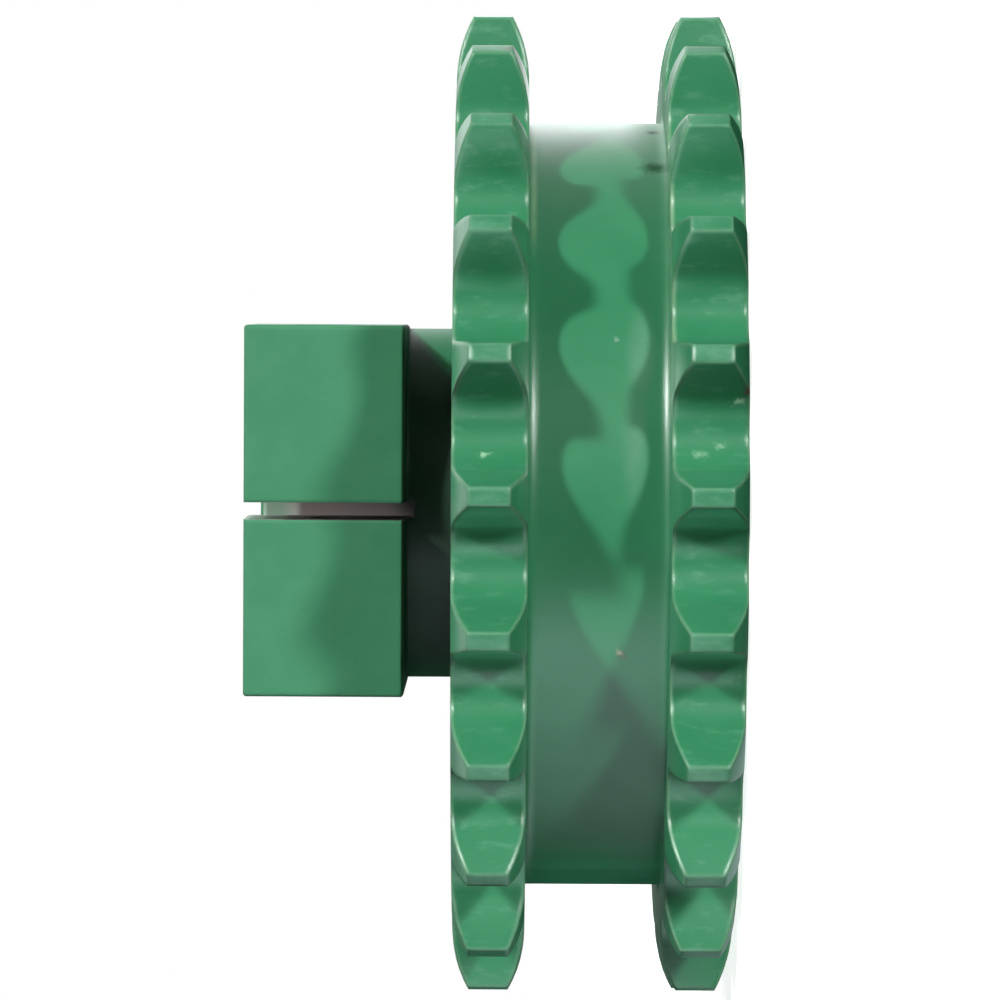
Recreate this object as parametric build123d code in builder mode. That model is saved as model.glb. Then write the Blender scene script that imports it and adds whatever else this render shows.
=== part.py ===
from build123d import *
from math import acos, cos, degrees, hypot, radians, sin, sqrt, tan
import os

# A double-row roller-chain sprocket with a split clamp hub, in millimetres.
#
# The axis is +Z. The lower rim's outer face lies on Z = 0 and the hub is on top. The hub's ears and their
# slit point along -Y, and the clamp screw's hole runs along X. Everything is one solid.

# Chain: 19.05 mm (3/4 inch) pitch, 12B size
PITCH = 19.05
ROLLER_DIAMETER = 12.07
PLATE_DEPTH = 16.1

# Teeth, in the form of ISO 606
TEETH = 23
TOOTH_TURN = 3.0  # degrees from the slit's middle plane to the middle of the nearest tooth
SEAT_FACTOR = 0.505  # seat radius over roller diameter
FLANK_FACTOR = 0.12  # flank radius over roller diameter and TEETH + 2
TIP_FACTOR = 1.10  # tip diameter is pitch diameter + TIP_FACTOR * PITCH - roller diameter
RELIEF_FACTOR = 0.13  # depth over pitch of the relief on each side of a tooth tip

# Rims, and the drum between them
RIM_WIDTH = 10.8
RIM_GAP = 20.2
PLATE_CLEARANCE = 3.9  # from the drum to the chain's plates

# Hub: a short round neck, then the clamp block with its ears
HUB_WALL = 9.1  # from the bore to the neck's outside
NECK_LENGTH = 7.2
BLOCK_STEP = 0.6  # from the neck's outside to the block's
BLOCK_WIDTH = 23.5  # along the axis
BLOCK_CHAMFER = 0.3

# Bore and slit
BORE_DIAMETER = 35.0
BORE_CHAMFER = 0.5
SLIT_WIDTH = 2.5
SLIT_RUN_OUT = 1.35  # how far the slit goes past the block into the neck

# Clamp screw hole, M6 with a socket head
SCREW_CLEARANCE_DIAMETER = 6.6
SCREW_CORE_DIAMETER = 5.0
SCREW_WALL = 4.0  # from the bore to the clearance hole
HEAD_DIAMETER = 11.0
HEAD_DEPTH = 7.0
EAR_WALL = 2.7  # from the head's recess to the ears' flat face

# Worked out from the values above
seat_radius = SEAT_FACTOR * ROLLER_DIAMETER
seat_angle = 140 - 90 / TEETH
flank_radius = FLANK_FACTOR * ROLLER_DIAMETER * (TEETH + 2)
relief_depth = RELIEF_FACTOR * PITCH
relief_radius = PITCH
relief_angle = degrees(acos(1 - relief_depth / relief_radius))

pitch_radius = PITCH / 2 / sin(radians(180 / TEETH))
tip_radius = pitch_radius + (TIP_FACTOR * PITCH - ROLLER_DIAMETER) / 2
flat_radius = tip_radius - relief_radius * sin(radians(relief_angle))
drum_radius = pitch_radius - PLATE_DEPTH / 2 - PLATE_CLEARANCE
bore_radius = BORE_DIAMETER / 2
neck_radius = bore_radius + HUB_WALL
block_radius = neck_radius + BLOCK_STEP

rim_bases = (0.0, RIM_WIDTH + RIM_GAP)
neck_base = 2 * RIM_WIDTH + RIM_GAP
block_base = neck_base + NECK_LENGTH
hub_top = block_base + BLOCK_WIDTH
screw_z = block_base + BLOCK_WIDTH / 2
screw_offset = bore_radius + SCREW_WALL + SCREW_CLEARANCE_DIAMETER / 2
ear_reach = screw_offset + HEAD_DIAMETER / 2 + EAR_WALL


def rim_section(base):
    """Half section of a rim from the axis to the tooth tips, with both sides relieved by an arc."""
    top = base + RIM_WIDTH
    with BuildSketch(Plane.XZ) as section:
        with BuildLine():
            lower_side = Line((0, base), (flat_radius, base))
            lower_relief = relief(lower_side @ 1, 1)
            upper_side = Line((0, top), (flat_radius, top))
            upper_relief = relief(upper_side @ 1, -1)
            Line(lower_relief @ 1, upper_relief @ 1)
            Line(lower_side @ 0, upper_side @ 0)
        make_face()
    return section.sketch


def relief(start, inward):
    """One side's relief, a smooth curve that is tangent to the side at start and ends at the tooth tips."""
    tip = Vector(tip_radius, start.Y + inward * relief_depth)
    slope = radians(relief_angle)
    handle = 4 / 3 * tan(slope / 4) * relief_radius
    end_handle = Vector(cos(slope), inward * sin(slope)) * handle
    return Bezier(start, start + Vector(handle, 0), tip - end_handle, tip)


def tooth_gap():
    """One tooth gap on the +X axis: a roller seat, two convex flanks, and an outer edge beyond the tips."""
    seat = Vector(pitch_radius, 0)
    half_seat = radians(seat_angle / 2)
    away = Vector(-cos(half_seat), sin(half_seat))
    flank_centre = seat + away * (seat_radius + flank_radius)
    outer_radius = tip_radius + relief_depth
    flank_end = circle_crossing(outer_radius, flank_centre, flank_radius)
    flank_start = seat + away * seat_radius
    with BuildSketch() as gap:
        with BuildLine():
            flank = ThreePointArc(flank_start, arc_middle(flank_centre, flank_start, flank_end), flank_end)
            mirror(flank, about=Plane.XZ)
            ThreePointArc(flank @ 0, seat - Vector(seat_radius, 0), mirrored(flank @ 0))
            ThreePointArc(flank @ 1, (outer_radius, 0), mirrored(flank @ 1))
        make_face()
    return gap.sketch


def mirrored(point):
    """The point's mirror image across the X axis."""
    return Vector(point.X, -point.Y)


def circle_crossing(radius, centre, other_radius):
    """Where a circle about the origin meets the circle about centre, on the side nearer the X axis."""
    distance = hypot(centre.X, centre.Y)
    along = (radius**2 - other_radius**2 + distance**2) / (2 * distance)
    across = sqrt(radius**2 - along**2)
    direction = centre / distance
    sideways = Vector(direction.Y, -direction.X)
    return direction * along + sideways * across


def arc_middle(centre, start, end):
    """The middle of the short arc about centre from start to end."""
    halfway = ((start - centre) + (end - centre)).normalized()
    return centre + halfway * (start - centre).length


def circles(part, radius):
    """The part's round edges of one radius."""
    return part.edges().filter_by(GeomType.CIRCLE).filter_by(lambda edge: abs(edge.radius - radius) < 0.01)


def block_outline():
    """The clamp block seen along the axis: a round back and two straight ears with a flat face."""
    with BuildSketch() as outline:
        Circle(block_radius)
        with Locations((0, -ear_reach / 2)):
            Rectangle(2 * block_radius, ear_reach)
    return outline.sketch


with BuildPart() as block:
    with BuildSketch(Plane.XY.offset(block_base)):
        add(block_outline())
    extrude(amount=BLOCK_WIDTH)
    end_outlines = block.edges().filter_by(Axis.Z, reverse=True)
    ear_corners = block.edges().filter_by(Axis.Z).group_by(Axis.Y)[0]
    chamfer(end_outlines + ear_corners, BLOCK_CHAMFER)

with BuildPart() as sprocket:
    # Turned body
    for rim_base in rim_bases:
        revolve(rim_section(rim_base), axis=Axis.Z)
    with BuildSketch(Plane.XY.offset(RIM_WIDTH)):
        Circle(drum_radius)
    extrude(amount=RIM_GAP)

    # Teeth: both rims are cut in one pass, so the two rows are in line
    with BuildSketch(Plane.XY):
        with PolarLocations(0, TEETH, start_angle=-90 + TOOTH_TURN + 180 / TEETH):
            add(tooth_gap())
    extrude(amount=neck_base, mode=Mode.SUBTRACT)

    # Hub: neck, then the clamp block
    with BuildSketch(Plane.XY.offset(neck_base)):
        Circle(neck_radius)
    extrude(amount=NECK_LENGTH)
    add(block.part)

    # Bore, slit and clamp screw hole
    with Locations((0, 0, hub_top)):
        Hole(bore_radius)
    chamfer(circles(sprocket, bore_radius), BORE_CHAMFER)
    with BuildSketch(Plane.XY.offset(block_base - SLIT_RUN_OUT)):
        with Locations((0, -ear_reach / 2)):
            Rectangle(SLIT_WIDTH, ear_reach)
    extrude(until=Until.LAST, mode=Mode.SUBTRACT)
    with Locations(Plane(origin=(block_radius, -screw_offset, screw_z), z_dir=(1, 0, 0))):
        CounterBoreHole(SCREW_CLEARANCE_DIAMETER / 2, HEAD_DIAMETER / 2, HEAD_DEPTH, depth=block_radius)
    with Locations(Plane(origin=(0, -screw_offset, screw_z), z_dir=(1, 0, 0))):
        Hole(SCREW_CORE_DIAMETER / 2, depth=2 * block_radius)
sprocket.part.label = "sprocket"

os.makedirs("parts", exist_ok=True)
export_step(sprocket.part, "parts/sprocket.step")
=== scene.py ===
"""Looks for the double-row chain sprocket: glossy green paint, and bare steel in the bore, slit and screw hole.

Everything is in metres in the CAD frame: the sprocket's axis is +Z, the lower rim stands on Z = 0, the hub is
on top, and the hub's slit points along -Y. The camera looks along +Y with +X upwards in the picture, so the
axis lies across the picture with the hub at the left.

Ramps below are pairs: where a share is 0, then where it is 1. Two more numbers are what 0 and 1 become. Bands
are triples: from, to, and the blur outside them.
"""

import math

import bpy
from mathutils import Matrix, Vector

MM = 0.001
HALF_TURN = math.pi
FULL_TURN = 2 * math.pi
WHITE = (1, 1, 1, 1)

# Camera
SIZE_PER_PIXEL = 0.1529 * MM  # at the sprocket's axis
PICTURE_WIDTH = 1000  # pixels
CAMERA_DISTANCE = 754.4 * MM
CAMERA_HEIGHT = 33.6 * MM
CAMERA_ROLL = 0.0057
CAMERA_TURN = math.radians(2.35)  # about the axis, from the slit's middle plane
AIM_RIGHT = -9.4  # pixels from the camera's foot on the axis to the middle of the picture
AIM_UP = 3.1
SENSOR_WIDTH = 36.0
CLIP_START = 0.01
CLIP_END = 50

# Key lamps: direction towards the lamp as (along the axis, up in the picture, towards the camera), power, how
# wide the lamp looks to matt surfaces, and how strongly it shows in the gloss, as a share of its power
KEY_LAMPS = {
    "key_left": ((0.5895, 0.497, 0.637), 2.45, math.radians(6.0), 1.45),
    "key_right": ((-0.457, 0.449, 0.768), 1.95, math.radians(7.0), 1.35),
}
SHINE_ANGLE = math.radians(6.0)  # how wide the key lamps look in the gloss

# Weak lamps behind the sprocket, for its far side
BACK_LAMPS = ((0.50, 0.35, -0.79), (-0.35, -0.55, -0.76))
BACK_POWER = 1.0
BACK_ANGLE = math.radians(25)
LAMP_DISTANCE = 2.0

# Studio seen in reflections: brightness by angle in degrees about the axis, from the camera towards +X
STUDIO = (
    (-180, 0.25), (-168, 0.0), (-135, 0.0), (-124, 0.0), (-112, 0.2), (-101, 0.45), (-84, 1.05),
    (-70, 1.35), (-56, 1.9), (-43, 2.55), (-31, 2.3), (-24, 0.8), (-14, 0.15), (0, 0.02), (40, 0.0),
    (66, 0.02), (80, 0.2), (92, 0.5), (116, 0.5), (130, 1.0), (142, 1.85), (157, 2.5), (168, 1.7),
    (176, 0.5), (180, 0.25),
)  # fmt: skip
STUDIO_SCALE = 4.0  # the colour ramp holds the brightness divided by this, because its stops end at 1
STUDIO_ENDS = (0.1, 1.2)  # brightness looking along the axis: away from the hub, then beyond it
ENDS_FROM, ENDS_TO = 0.4, 0.8  # the axial part of a direction over which an end takes over
STUDIO_TINT = (0.95, 0.99, 1.0, 1)
LOW_TINT = (0.87, 0.94, 1.04, 1)  # below the sprocket in the picture
LOW_ARC = (math.radians(-100), math.radians(-30), math.radians(20))

# Soft light on matt surfaces: from all round, and from below in the picture
FILL_ROUND = 0.02
FILL_BELOW = 0.13

# Floor: just under the sprocket, and clear when looked at from below
FLOOR_Z = -0.05 * MM
FLOOR_REACH = 6.0
FLOOR_COLOUR = (0.8, 0.8, 0.8, 1)
FLOOR_GLOW = 0.80
# The floor shows darker in the gloss near the sprocket: a painted shadow
FLOOR_MIRROR_SHADOW = (75 * MM, 130 * MM, 0.2, 1.0)  # how bright the gloss shows it, by distance from the axis

# The sprocket's own places, from the CAD
BORE_RADIUS = 17.5 * MM
SLIT_HALF = 1.25 * MM
SLIT_END = 47.6 * MM
DRUM_LOW = 10.8 * MM
DRUM_HIGH = 31.0 * MM
DRUM_RADIUS = 58.0 * MM
TIP_RADIUS = 74.4 * MM
RIM_TOP = 41.8 * MM
BLOCK_LOW = 49.0 * MM
SCREW_Y = -24.8 * MM
SCREW_Z = 60.75 * MM
SCREW_RADIUS = 3.3 * MM
THREAD_PITCH = 1.0 * MM

# Colours
PAINT = (0.036, 0.245, 0.108, 1.0)
PAINT_PALE = (0.110, 0.340, 0.200, 1.0)
# Pale edge colour: partly wear, partly a painted edge highlight
PAINT_WORN_AND_HIGHLIT = (0.155, 0.370, 0.205, 1.0)
# Pale colour for the painted highlight bands
PAINTED_HIGHLIGHT_PALE = (0.28, 0.47, 0.26, 1.0)
PAINT_DEEP = (0.029, 0.220, 0.095, 1.0)
# Dark colour for the painted shade in the neck
PAINTED_NECK_SHADE = (0.012, 0.022, 0.014, 1.0)
GREEN_GRIME = (0.014, 0.065, 0.026, 1.0)
# Pale colour for a dust speck and for the painted sheen patches on the drum
DUST_AND_SHEEN = (0.26, 0.42, 0.32, 1.0)
RUST = (0.10, 0.11, 0.05, 1.0)
SAND = (0.55, 0.56, 0.38, 1.0)
FLECK = (0.38, 0.66, 0.44, 1.0)
BROWN = (0.16, 0.09, 0.07, 1.0)
STEEL = (0.20, 0.165, 0.16, 1.0)
STEEL_PALE = (0.40, 0.42, 0.37, 1.0)
STEEL_DARK = (0.13, 0.115, 0.115, 1.0)

# Grains of noise: scale, detail, roughness
MARK_GRAIN = (520.0, 4.0, 0.65)
PEEL_GRAIN = (700.0, 2.0, 0.5)
SPRAY_GRAIN = (400.0, 3.0, 0.5)

# Patterns: a grain of noise, then the ramp over it
MOTTLING = ((55.0, 4.0, 0.55), (0.35, 0.7, 0.0, 1.0))
HAZE = ((170.0, 5.0, 0.65), (0.35, 0.75, 0.0, 0.22))
UNEVENNESS = ((260.0, 4.0, 0.6), (0.3, 0.6, 0.45, 1.0))
SHEEN_SMEARING = ((420.0, 4.0, 0.5), (0.25, 0.7, 0.7, 1.15))
TORN_EDGE = ((1300.0, 3.0, 0.6), (0.35, 0.65, 0.6, 1.5))
NECK_SHADE_COVER = ((90.0, 3.0, 0.5), (0.2, 0.7, 0.8, 0.95))

# Rounded look: radius at an edge, and in the corners where the drum meets the rims
EDGE_ROUNDING = 1.1 * MM
CORNER_ROUNDING = 2.3 * MM
BEVEL_SAMPLES = 8
CORNER_RADII = (DRUM_RADIUS - 1.0 * MM, DRUM_RADIUS + 2.2 * MM, 0.1 * MM)
CORNER_HEIGHTS = (DRUM_LOW - 0.2 * MM, DRUM_HIGH + 0.2 * MM, 0.1 * MM)
EDGE_TURN = (0.992, 0.88)  # cosine of how far the rounding turns the face

# How the block differs from the rest: paler, partly dust and partly a painted sheen, hazier, and with weaker
# pale edges
BLOCK_RAMP = (BLOCK_LOW - 0.2 * MM, BLOCK_LOW + 0.2 * MM)
BLOCK_DUST_AND_SHEEN = 0.34
BLOCK_UNEVENNESS = 0.3
HAZE_OFF_BLOCK = 0.35

# Cutter marks, drawn out along the axis, on the faces parallel to it: in the tooth gaps, and on the tips
MARK_STRETCH = (1.0, 1.0, 0.4)
PARALLEL_RAMP = (0.3, 0.1)  # the axial part of the normal
GAP_RAMP = (DRUM_RADIUS + 3 * MM, DRUM_RADIUS + 4 * MM)
GAP_MARKS = (0.53, 0.72, 0.0, 0.55)
TIP_RAMP = (TIP_RADIUS - 0.5 * MM, TIP_RADIUS - 0.2 * MM)
TIP_MARKS = (0.35, 0.65, 0.1, 0.6)

# Painted sheen, pale patches on the drum: degrees round from the slit, height, half sizes in degrees and
# length, strength
PAINTED_SHEEN_PATCHES = (
    (24.0, 15.0 * MM, 10.0, 2.9 * MM, 0.26),
    (11.0, 15.9 * MM, 13.0, 2.6 * MM, 0.20),
)

# Dull patches, in the same way
DULL_PATCHES = (
    (78.0, 11.5 * MM, 24.0, 6.5 * MM, 0.6),
    (75.5, 12.5 * MM, 2.3, 2.1 * MM, 0.85),
    (60.6, 12.5 * MM, 2.6, 3.0 * MM, 0.85),
)
PATCH_RAMP = (1.0, 0.1)  # share of a patch's half size

# Painted highlights, pale bands where the drum meets the rims: heights, radii, degrees round from the slit,
# strength
PAINTED_HIGHLIGHT_BANDS = (
    (10.6 * MM, 11.0 * MM, 58.4 * MM, 66.0 * MM, 22.0, 56.0, 0.5),
    (30.25 * MM, 30.35 * MM, 57.0 * MM, 60.0 * MM, 48.0, 72.0, 0.55),
)
BAND_BLURS = (0.7 * MM, 0.5 * MM, math.radians(10))  # of the heights, radii and angles

# Spots and chips: degrees round from the slit, radius, height, size, stretch along the axis, how much of the
# size is its core, colour, strength
SPOTS = (
    (26.0, DRUM_RADIUS, 18.5 * MM, 0.50 * MM, 1.0, 0.4, DUST_AND_SHEEN, 0.6),
    (-19.3, DRUM_RADIUS, 17.6 * MM, 1.15 * MM, 0.8, 0.2, RUST, 0.65),
    (-19.0, DRUM_RADIUS, 17.85 * MM, 0.75 * MM, 0.8, 0.0, SAND, 0.8),
    (75.5, DRUM_RADIUS, 12.5 * MM, 2.1 * MM, 0.9, 0.0, GREEN_GRIME, 0.9),
    (60.6, DRUM_RADIUS, 12.5 * MM, 2.3 * MM, 1.2, 0.0, GREEN_GRIME, 0.9),
    (8.4, 64.57 * MM, 37.15 * MM, 0.65 * MM, 1.6, 0.0, FLECK, 0.8),
    (8.5, 64.55 * MM, 7.2 * MM, 0.65 * MM, 2.4, 0.0, FLECK, 0.5),
    (9.7, 64.0 * MM, 4.1 * MM, 0.75 * MM, 1.3, 0.0, FLECK, 0.45),
    (14.9, 66.3 * MM, 1.65 * MM, 0.90 * MM, 1.4, 0.0, FLECK, 1.0),
    (51.1, 74.3 * MM, 7.8 * MM, 0.70 * MM, 1.0, 0.2, FLECK, 0.8),
    (15.65, 68.1 * MM, 0.35 * MM, 1.40 * MM, 0.8, 0.3, BROWN, 0.9),
    (65.5, 74.2 * MM, 34.2 * MM, 1.00 * MM, 1.0, 0.2, BROWN, 0.6),
)

# Painted shade, dark in the neck and on the block's underside, on the slit's side
NECK_HEIGHTS = (RIM_TOP + 0.4 * MM, BLOCK_LOW + 0.3 * MM, 0.2 * MM)
NECK_OUTER = (45 * MM, 40 * MM)
NECK_INNER = (BORE_RADIUS + 1 * MM, BORE_RADIUS + 2 * MM)
NECK_SIDE = (14 * MM, 2 * MM)
# Less painted shade where light reaches the neck: above the slanting line of the block's shadow in the picture,
# and short of the block
LIT_SLANT = 1.05
LIT_LINE = (-25.9 * MM, -23.9 * MM)
LIT_HEIGHTS = (BLOCK_LOW - 0.1 * MM, BLOCK_LOW - 0.9 * MM)

# Bare steel: where it starts in the bore, the slit and the screw's hole
BORE_EDGE = (BORE_RADIUS + 0.12 * MM, BORE_RADIUS + 0.02 * MM)
SLIT_EDGE = (SLIT_HALF + 0.05 * MM, SLIT_HALF + 0.01 * MM)
HOLE_EDGE = SCREW_RADIUS + 0.05 * MM
# A little paint is blown in at the hub's open end, so the steel is less bare there
BLOWN_IN = (69.4 * MM, 67.4 * MM, 0.55, 1.0)
BLOWN_RAGGED = 1.6 * MM
# The steel is paler near the open end and darker deeper in the bore, a painted shade
STEEL_FROM_PALE = (67.2 * MM, 65.8 * MM)
STEEL_TO_DARK = (66.0 * MM, 50.0 * MM)

# Bumps: distance, strength
PEEL_BUMP = (0.012 * MM, 0.5)
MARK_BUMP = (0.02 * MM, 0.6)
THREAD_BUMP = (0.8 * MM, 1.0)

# Gloss
PAINT_ROUGHNESS = 0.38
DULL_ROUGHNESS = 0.6
STEEL_ROUGHNESS = 0.45
STEEL_METALLIC = 0.9
PAINT_IOR = 1.5
PAINT_SPECULAR = 0.15
COAT_ROUGHNESS = 0.3
COAT_IOR = 1.5
NECK_COAT_CUT = 0.75
BLOCK_COAT = 0.3
EDGE_COAT = 0.6
OUTER_EDGE_COAT = 0.15  # at the edges of the upper rim's outer face
OUTER_RAMP = (RIM_TOP - 4 * MM, RIM_TOP - 3 * MM)


class Nodes:
    """Short calls for building a node tree."""

    def __init__(self, tree):
        self.tree = tree
        tree.nodes.clear()

    def add(self, kind, inputs=None, **settings):
        node = self.tree.nodes.new(kind)
        for name, value in settings.items():
            setattr(node, name, value)
        for name, value in (inputs or {}).items():
            self.put(node.inputs[name], value)
        return node

    def put(self, socket, value):
        if isinstance(value, bpy.types.NodeSocket):
            self.tree.links.new(value, socket)
        else:
            socket.default_value = value

    def math(self, operation, first, second=0.0, clamp=False):
        node = self.add("ShaderNodeMath", operation=operation, use_clamp=clamp)
        self.put(node.inputs[0], first)
        self.put(node.inputs[1], second)
        return node.outputs[0]

    def times(self, first, *others):
        for other in others:
            first = self.math("MULTIPLY", first, other)
        return first

    def opposite(self, share):
        """What a share leaves of 1."""
        return self.math("SUBTRACT", 1.0, share)

    def length(self, along, across):
        return self.math("SQRT", self.math("ADD", self.times(along, along), self.times(across, across)))

    def vector(self, operation, first, second=None, scale=None, output="Vector"):
        node = self.add("ShaderNodeVectorMath", operation=operation)
        self.put(node.inputs[0], first)
        if second is not None:
            self.put(node.inputs[1], second)
        if scale is not None:
            self.put(node.inputs["Scale"], scale)
        return node.outputs[output]

    def ramp(self, value, low, high, to_low=0.0, to_high=1.0, smooth=True):
        """value taken from low..high to to_low..to_high, held at both ends."""
        kind = "SMOOTHSTEP" if smooth else "LINEAR"
        inputs = {"Value": value, "From Min": low, "From Max": high, "To Min": to_low, "To Max": to_high}
        return self.add("ShaderNodeMapRange", inputs, clamp=True, interpolation_type=kind).outputs[0]

    def within(self, value, low, high, blur):
        """1 where value lies between low and high, falling to 0 over blur outside them."""
        return self.times(self.ramp(value, low - blur, low), self.ramp(value, high + blur, high))

    def mix(self, factor, first, second):
        """One colour mixed into another."""
        return self.add("ShaderNodeMix", {0: factor, 6: first, 7: second}, data_type="RGBA").outputs[2]

    def number_mix(self, factor, first, second):
        return self.add("ShaderNodeMix", {0: factor, 2: first, 3: second}, data_type="FLOAT").outputs[0]

    def shader_mix(self, factor, first, second):
        return self.add("ShaderNodeMixShader", {0: factor, 1: first, 2: second}).outputs[0]

    def noise(self, where, scale, detail, roughness):
        inputs = {"Vector": where, "Scale": scale, "Detail": detail, "Roughness": roughness}
        return self.add("ShaderNodeTexNoise", inputs).outputs["Fac"]

    def pattern(self, where, grain, levels):
        return self.ramp(self.noise(where, *grain), *levels)

    def bump(self, normal, height, distance, strength):
        inputs = {"Height": height, "Distance": distance, "Strength": strength, "Normal": normal}
        return self.add("ShaderNodeBump", inputs).outputs[0]


def to_frame(axial, up, near):
    """A direction given by the picture, in the CAD frame."""
    return Vector((up, -near, axial)).normalized()


def new_object(name, data):
    item = bpy.data.objects.new(name, data)
    bpy.context.scene.collection.objects.link(item)
    return item


def camera_matrix():
    """The photograph's viewpoint, aimed at the middle of its frame and rolled a little."""
    towards_camera = Vector((math.sin(CAMERA_TURN), -math.cos(CAMERA_TURN), 0))
    up = Vector((math.cos(CAMERA_TURN), math.sin(CAMERA_TURN), 0))
    right = Vector((0, 0, -1))
    foot = Vector((0, 0, CAMERA_HEIGHT))
    place = towards_camera * CAMERA_DISTANCE + foot
    rolled_right = right * math.cos(CAMERA_ROLL) + up * math.sin(CAMERA_ROLL)
    rolled_up = up * math.cos(CAMERA_ROLL) - right * math.sin(CAMERA_ROLL)
    aim = foot + (rolled_right * AIM_RIGHT + rolled_up * AIM_UP) * SIZE_PER_PIXEL
    back = (place - aim).normalized()
    x_axis = (rolled_right - back * rolled_right.dot(back)).normalized()
    y_axis = back.cross(x_axis)
    matrix = Matrix((x_axis, y_axis, back)).transposed().to_4x4()
    matrix.translation = place
    return matrix


def add_camera():
    data = bpy.data.cameras.new("camera")
    data.sensor_width = SENSOR_WIDTH
    data.lens = SENSOR_WIDTH * CAMERA_DISTANCE / (PICTURE_WIDTH * SIZE_PER_PIXEL)
    data.clip_start = CLIP_START
    data.clip_end = CLIP_END
    camera = new_object("camera", data)
    camera.matrix_world = camera_matrix()
    bpy.context.scene.camera = camera


def add_sun(name, direction, power, angle):
    data = bpy.data.lights.new(name, "SUN")
    data.energy = power
    data.angle = angle
    lamp = new_object(name, data)
    towards = to_frame(*direction)
    lamp.rotation_euler = towards.to_track_quat("Z", "Y").to_euler()
    lamp.location = towards * LAMP_DISTANCE
    return lamp


def add_key(name, direction, power, angle, shine):
    """A key lamp in two parts: its light on matt surfaces, and what shows of it in the gloss."""
    add_sun(name, direction, power, angle).visible_glossy = False
    add_sun(name + "_shine", direction, power * shine, SHINE_ANGLE).visible_diffuse = False


def add_lamps():
    for name, lamp in KEY_LAMPS.items():
        add_key(name, *lamp)
    for number, direction in enumerate(BACK_LAMPS, 1):
        add_sun(f"back_{number}", direction, BACK_POWER, BACK_ANGLE).visible_glossy = False


def studio_round(n, angle):
    """The studio's brightness at an angle about the axis."""
    ramp = n.add("ShaderNodeValToRGB", {0: n.ramp(angle, -HALF_TURN, HALF_TURN, smooth=False)})
    stops = ramp.color_ramp.elements
    while len(stops) > 1:
        stops.remove(stops[-1])
    for number, (degrees_round, level) in enumerate(STUDIO):
        at = (degrees_round + 180) / 360
        stop = stops[0] if number == 0 else stops.new(at)
        stop.position = at
        grey = level / STUDIO_SCALE
        stop.color = (grey, grey, grey, 1)
    return n.times(ramp.outputs[0], STUDIO_SCALE)


def studio_light(n, where):
    """What the gloss shows of the studio in a direction, or over the floor in that direction."""
    x, y, z = n.add("ShaderNodeSeparateXYZ", {0: where}).outputs
    angle = n.math("ARCTAN2", x, n.times(y, -1.0))
    level = studio_round(n, angle)
    level = n.number_mix(n.ramp(z, -ENDS_FROM, -ENDS_TO), level, STUDIO_ENDS[0])
    level = n.number_mix(n.ramp(z, ENDS_FROM, ENDS_TO), level, STUDIO_ENDS[1])
    return n.vector("SCALE", n.mix(n.within(angle, *LOW_ARC), STUDIO_TINT, LOW_TINT), scale=level)


def fill_light(n, where):
    """The soft light on matt surfaces from a direction."""
    up = n.add("ShaderNodeSeparateXYZ", {0: n.vector("NORMALIZE", where)}).outputs["X"]
    below = n.math("MAXIMUM", n.times(up, -1.0), 0.0)
    level = n.math("ADD", FILL_ROUND, n.times(below, FILL_BELOW))
    return n.add("ShaderNodeCombineColor", {0: level, 1: level, 2: level}).outputs[0]


def add_world():
    world = bpy.data.worlds.new("studio")
    world.use_nodes = True
    bpy.context.scene.world = world
    n = Nodes(world.node_tree)
    towards = n.add("ShaderNodeTexCoord").outputs["Generated"]
    path = n.add("ShaderNodeLightPath").outputs
    light = n.mix(path["Is Diffuse Ray"], studio_light(n, towards), fill_light(n, towards))
    seen = n.add("ShaderNodeBackground", {"Color": WHITE, "Strength": 1.0}).outputs[0]
    studio = n.add("ShaderNodeBackground", {"Color": light, "Strength": 1.0}).outputs[0]
    mixed = n.shader_mix(path["Is Camera Ray"], studio, seen)
    n.add("ShaderNodeOutputWorld", {"Surface": mixed})


def floor_material():
    """White to the camera, the studio to the gloss with a painted shadow near the sprocket, soft light to matt
    surfaces, and clear from below.
    """
    material = bpy.data.materials.new("floor_white")
    material.use_nodes = True
    n = Nodes(material.node_tree)
    path = n.add("ShaderNodeLightPath").outputs
    geometry = n.add("ShaderNodeNewGeometry").outputs
    where = geometry["Position"]
    lit = n.add("ShaderNodeBsdfDiffuse", {"Color": FLOOR_COLOUR}).outputs[0]
    glow = n.add("ShaderNodeEmission", {"Color": WHITE, "Strength": FLOOR_GLOW}).outputs[0]
    seen = n.add("ShaderNodeAddShader", {0: lit, 1: glow}).outputs[0]
    in_mirror = n.math("ADD", path["Is Glossy Ray"], path["Is Transmission Ray"], clamp=True)
    mirror_shadow = n.ramp(n.vector("LENGTH", where, output="Value"), *FLOOR_MIRROR_SHADOW)
    mirrored = n.vector("SCALE", studio_light(n, where), scale=mirror_shadow)
    light = n.mix(in_mirror, fill_light(n, where), mirrored)
    unseen = n.add("ShaderNodeEmission", {"Color": light, "Strength": 1.0}).outputs[0]
    clear = n.add("ShaderNodeBsdfTransparent").outputs[0]
    surface = n.shader_mix(path["Is Camera Ray"], unseen, seen)
    surface = n.shader_mix(geometry["Backfacing"], surface, clear)
    n.add("ShaderNodeOutputMaterial", {"Surface": surface})
    return material


def add_floor():
    mesh = bpy.data.meshes.new("floor")
    corners = [(x * FLOOR_REACH, y * FLOOR_REACH, FLOOR_Z) for x, y in ((-1, -1), (1, -1), (1, 1), (-1, 1))]
    mesh.from_pydata(corners, [], [(0, 1, 2, 3)])
    floor = new_object("floor", mesh)
    mesh.materials.append(floor_material())
    floor.visible_shadow = False


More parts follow.
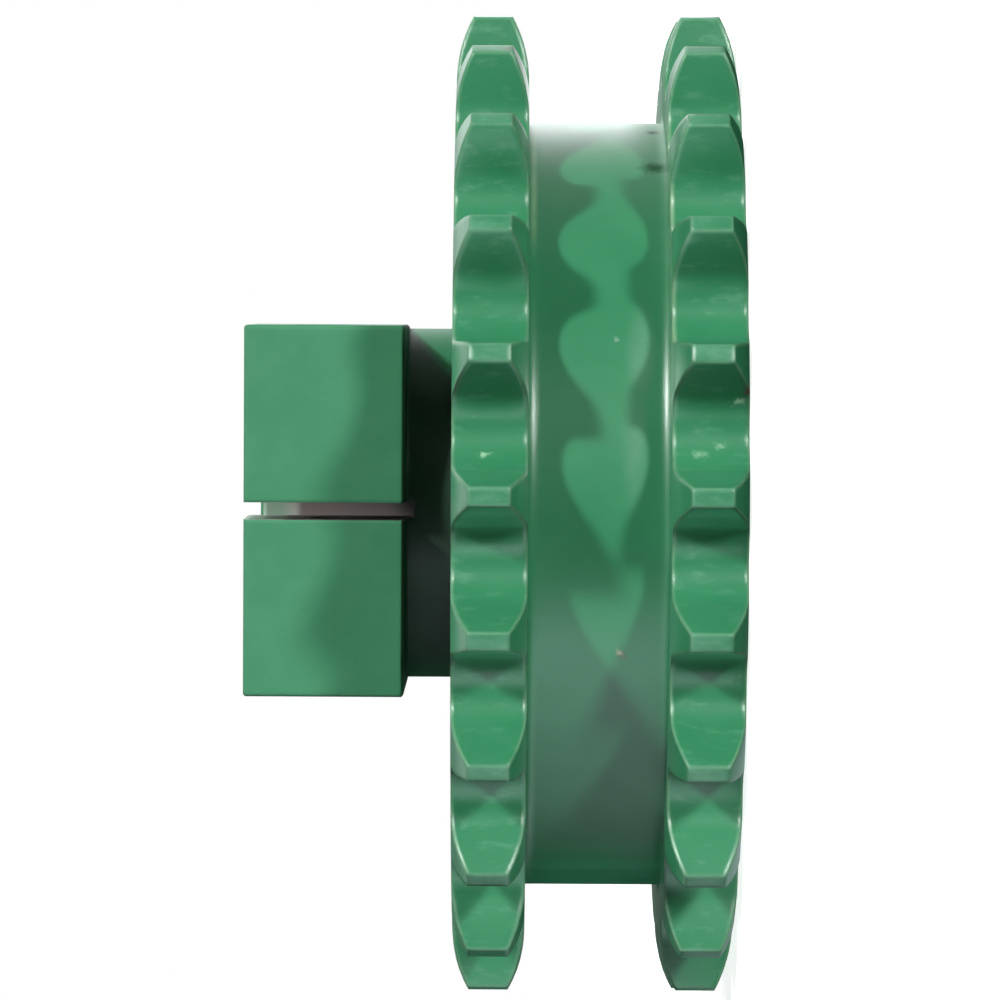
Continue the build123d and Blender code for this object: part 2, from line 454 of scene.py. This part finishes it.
class Surface(Nodes):
    """The sprocket's surface: where a point is, and shares from 0 to 1 that the parts of the material use."""

    def __init__(self, tree):
        super().__init__(tree)
        self.where = self.add("ShaderNodeTexCoord").outputs["Object"]
        self.x, self.y, self.z = self.add("ShaderNodeSeparateXYZ", {0: self.where}).outputs
        self.radius = self.length(self.x, self.y)
        self.angle = self.math("ARCTAN2", self.x, self.times(self.y, -1.0))
        self.normal = self.add("ShaderNodeNewGeometry").outputs["Normal"]
        self.on_block = self.ramp(self.z, *BLOCK_RAMP)
        self.find_edges()
        self.find_marks()
        self.find_neck()
        self.find_steel()

    def find_edges(self):
        """Rounded corners, larger where the drum meets the rims, and how near an outer edge a point is."""
        at_drum = self.within(self.radius, *CORNER_RADII)
        at_drum = self.times(at_drum, self.within(self.z, *CORNER_HEIGHTS))
        rounding = self.number_mix(at_drum, EDGE_ROUNDING, CORNER_ROUNDING)
        self.rounded = self.add("ShaderNodeBevel", {"Radius": rounding}, samples=BEVEL_SAMPLES).outputs[0]
        turn = self.vector("DOT_PRODUCT", self.rounded, self.normal, output="Value")
        self.edge = self.times(self.ramp(turn, *EDGE_TURN), self.opposite(at_drum))

    def find_marks(self):
        """Cutter marks, and the faces that show them."""
        self.marks = self.noise(self.vector("MULTIPLY", self.where, MARK_STRETCH), *MARK_GRAIN)
        axial = self.add("ShaderNodeSeparateXYZ", {0: self.normal}).outputs["Z"]
        parallel = self.ramp(self.math("ABSOLUTE", axial), *PARALLEL_RAMP)
        self.in_gap = self.times(self.ramp(self.radius, *GAP_RAMP), parallel)
        self.on_tip = self.times(self.ramp(self.radius, *TIP_RAMP), parallel)

    def find_neck(self):
        """The neck and the block's underside."""
        heights = self.within(self.z, *NECK_HEIGHTS)
        radii = self.times(self.ramp(self.radius, *NECK_OUTER), self.ramp(self.radius, *NECK_INNER))
        self.in_neck = self.times(heights, radii, self.ramp(self.y, *NECK_SIDE))

    def find_steel(self):
        """Bare steel, with a little paint blown in from outside except in the screw's hole."""
        in_bore = self.ramp(self.radius, *BORE_EDGE, smooth=False)
        in_slit = self.ramp(self.math("ABSOLUTE", self.x), *SLIT_EDGE, smooth=False)
        in_slit = self.times(in_slit, self.math("LESS_THAN", self.y, -BORE_RADIUS))
        in_slit = self.times(in_slit, self.math("GREATER_THAN", self.z, SLIT_END))
        self.screw_y = self.math("SUBTRACT", self.y, SCREW_Y)
        self.screw_z = self.math("SUBTRACT", self.z, SCREW_Z)
        self.in_hole = self.math("LESS_THAN", self.length(self.screw_y, self.screw_z), HOLE_EDGE)
        centred = self.math("SUBTRACT", self.noise(self.where, *SPRAY_GRAIN), 0.5)
        blown = self.ramp(self.math("ADD", self.z, self.times(centred, BLOWN_RAGGED)), *BLOWN_IN)
        self.bare = self.times(self.math("MAXIMUM", in_bore, in_slit), blown)
        self.bare = self.math("MAXIMUM", self.bare, self.in_hole)


def patches(s, places):
    """The strongest of some soft oval patches on the drum, each with its strength in the middle."""
    strongest = 0.0
    for degrees_round, height, half_angle, half_height, strength in places:
        across = s.math("SUBTRACT", s.angle, math.radians(degrees_round))
        across = s.math("DIVIDE", across, math.radians(half_angle))
        along = s.math("DIVIDE", s.math("SUBTRACT", s.z, height), half_height)
        patch = s.ramp(s.length(across, along), *PATCH_RAMP)
        strongest = s.math("MAXIMUM", strongest, s.times(patch, strength))
    return strongest


def paint_colour(s, unevenness):
    """Paint with faint mottling, edges paler from wear and a painted highlight, and cutter marks in the tooth
    gaps and on the tips.
    """
    colour = s.mix(s.pattern(s.where, *MOTTLING), PAINT_DEEP, PAINT)
    haze = s.times(s.pattern(s.where, *HAZE), s.number_mix(s.on_block, HAZE_OFF_BLOCK, 1.0))
    colour = s.mix(haze, colour, PAINT_PALE)
    # The block is paler: partly dust, partly a painted sheen
    colour = s.mix(s.times(s.on_block, BLOCK_DUST_AND_SHEEN), colour, PAINT_PALE)
    colour = s.mix(s.times(s.edge, unevenness), colour, PAINT_WORN_AND_HIGHLIT)
    colour = s.mix(s.times(s.in_gap, s.ramp(s.marks, *GAP_MARKS)), colour, PAINT_PALE)
    return s.mix(s.times(s.on_tip, s.ramp(s.marks, *TIP_MARKS)), colour, PAINT_PALE)


# Painted sheen: pale smeared patches on the drum near the right rim, standing in for a glossy highlight
def add_painted_sheen(s, colour):
    return s.mix(s.times(patches(s, PAINTED_SHEEN_PATCHES), s.pattern(s.where, *SHEEN_SMEARING)), colour, DUST_AND_SHEEN)


# Painted highlights: pale bands in the corners where the drum meets the rims, broken up by the unevenness
# pattern
def add_painted_highlight_bands(s, colour, unevenness):
    height_blur, radius_blur, angle_blur = BAND_BLURS
    for low, high, inner, outer, start, end, strength in PAINTED_HIGHLIGHT_BANDS:
        heights = s.within(s.z, low, high, height_blur)
        radii = s.within(s.radius, inner, outer, radius_blur)
        angles = s.within(s.angle, math.radians(start), math.radians(end), angle_blur)
        colour = s.mix(s.times(heights, radii, angles, unevenness, strength), colour, PAINTED_HIGHLIGHT_PALE)
    return colour


def add_spots(s, colour):
    """Each spot covers fully in its core and fades out to an uneven edge."""
    torn = s.pattern(s.where, *TORN_EDGE)
    for degrees_round, radius, height, size, stretch, core, spot_colour, strength in SPOTS:
        turn = math.radians(degrees_round)
        centre = (radius * math.sin(turn), -radius * math.cos(turn), height)
        offset = s.vector("MULTIPLY", s.vector("SUBTRACT", s.where, centre), (1.0, 1.0, 1 / stretch))
        distance = s.times(s.vector("LENGTH", offset, output="Value"), torn)
        colour = s.mix(s.times(s.ramp(distance, size, size * core), strength), colour, spot_colour)
    return colour


def add_painted_neck_shade(s, colour):
    """Painted shade in the neck, except where light reaches it past the block."""
    beside_line = s.math("SUBTRACT", s.x, s.times(s.z, LIT_SLANT))
    lit_share = s.times(s.ramp(beside_line, *LIT_LINE), s.ramp(s.z, *LIT_HEIGHTS))
    neck_shade = s.times(s.in_neck, s.opposite(lit_share), s.pattern(s.where, *NECK_SHADE_COVER))
    return s.mix(neck_shade, colour, PAINTED_NECK_SHADE)


def add_steel(s, colour):
    """Bare steel, paler near the hub's open end, and darker further in: painted shade."""
    steel = s.mix(s.ramp(s.z, *STEEL_FROM_PALE), STEEL_PALE, STEEL)
    steel = s.mix(s.ramp(s.z, *STEEL_TO_DARK), steel, STEEL_DARK)
    return s.mix(s.bare, colour, steel)


def surface_colour(s):
    # Uneven share for the pale edges (partly wear, partly painted highlight) and for the painted highlight
    # bands
    unevenness = s.times(s.pattern(s.where, *UNEVENNESS), s.number_mix(s.on_block, 1.0, BLOCK_UNEVENNESS))
    colour = paint_colour(s, unevenness)
    colour = add_painted_sheen(s, colour)
    colour = add_painted_highlight_bands(s, colour, unevenness)
    colour = add_spots(s, colour)
    colour = add_painted_neck_shade(s, colour)
    return add_steel(s, colour)


def surface_normal(s):
    """Rounded corners with faint orange peel, cutter marks, and a thread in the screw hole's tapped half."""
    normal = s.bump(s.rounded, s.noise(s.where, *PEEL_GRAIN), *PEEL_BUMP)
    normal = s.bump(normal, s.times(s.marks, s.in_gap), *MARK_BUMP)
    turned = s.math("DIVIDE", s.math("ARCTAN2", s.screw_y, s.screw_z), FULL_TURN)
    turns = s.math("ADD", s.math("DIVIDE", s.x, THREAD_PITCH), turned)
    ridges = s.math("PINGPONG", turns, 0.5)
    threaded = s.times(s.in_hole, s.math("LESS_THAN", s.x, 0.0))
    return s.bump(normal, s.times(ridges, threaded), *THREAD_BUMP)


def surface_roughness(s, dull):
    roughness = s.number_mix(s.math("MAXIMUM", s.on_block, dull), PAINT_ROUGHNESS, DULL_ROUGHNESS)
    roughness = s.number_mix(s.bare, roughness, STEEL_ROUGHNESS)
    return s.number_mix(s.in_neck, roughness, DULL_ROUGHNESS)


def coat_weight(s, dull):
    """Gloss over the paint: weaker on the block, at edges, in the neck and where it is dull. Steel has none."""
    covered = s.math("MAXIMUM", s.bare, s.times(s.in_neck, NECK_COAT_CUT))
    on_outer = s.ramp(s.z, *OUTER_RAMP)
    at_edge = s.ramp(s.edge, 0.0, 1.0, 1.0, s.number_mix(on_outer, EDGE_COAT, OUTER_EDGE_COAT))
    coat = s.times(s.opposite(covered), s.number_mix(s.on_block, 1.0, BLOCK_COAT))
    return s.times(coat, at_edge, s.opposite(dull))


def sprocket_material():
    material = bpy.data.materials.new("green_paint")
    material.use_nodes = True
    s = Surface(material.node_tree)
    normal = surface_normal(s)
    dull = patches(s, DULL_PATCHES)
    shader = s.add("ShaderNodeBsdfPrincipled", {
        "Base Color": surface_colour(s),
        "Roughness": surface_roughness(s, dull),
        "Metallic": s.times(s.bare, STEEL_METALLIC),
        "IOR": PAINT_IOR,
        "Specular IOR Level": PAINT_SPECULAR,
        "Coat Weight": coat_weight(s, dull),
        "Coat Roughness": COAT_ROUGHNESS,
        "Coat IOR": COAT_IOR,
        "Normal": normal,
        "Coat Normal": normal,
    })  # fmt: skip
    s.add("ShaderNodeOutputMaterial", {"Surface": shader.outputs[0]})
    return material


def finish_sprocket(sprocket):
    material = sprocket_material()
    for slot in sprocket.material_slots:
        slot.material = material


def set_view():
    bpy.context.scene.view_settings.view_transform = "Standard"


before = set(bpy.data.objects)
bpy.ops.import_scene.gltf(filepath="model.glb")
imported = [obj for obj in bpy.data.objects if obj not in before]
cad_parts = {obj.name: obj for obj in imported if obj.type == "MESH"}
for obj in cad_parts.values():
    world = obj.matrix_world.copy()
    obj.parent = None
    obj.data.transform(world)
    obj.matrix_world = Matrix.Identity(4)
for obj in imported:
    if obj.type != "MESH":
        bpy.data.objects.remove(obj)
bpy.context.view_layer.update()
set_view()
add_camera()
add_lamps()
add_world()
add_floor()
finish_sprocket(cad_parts["sprocket"])
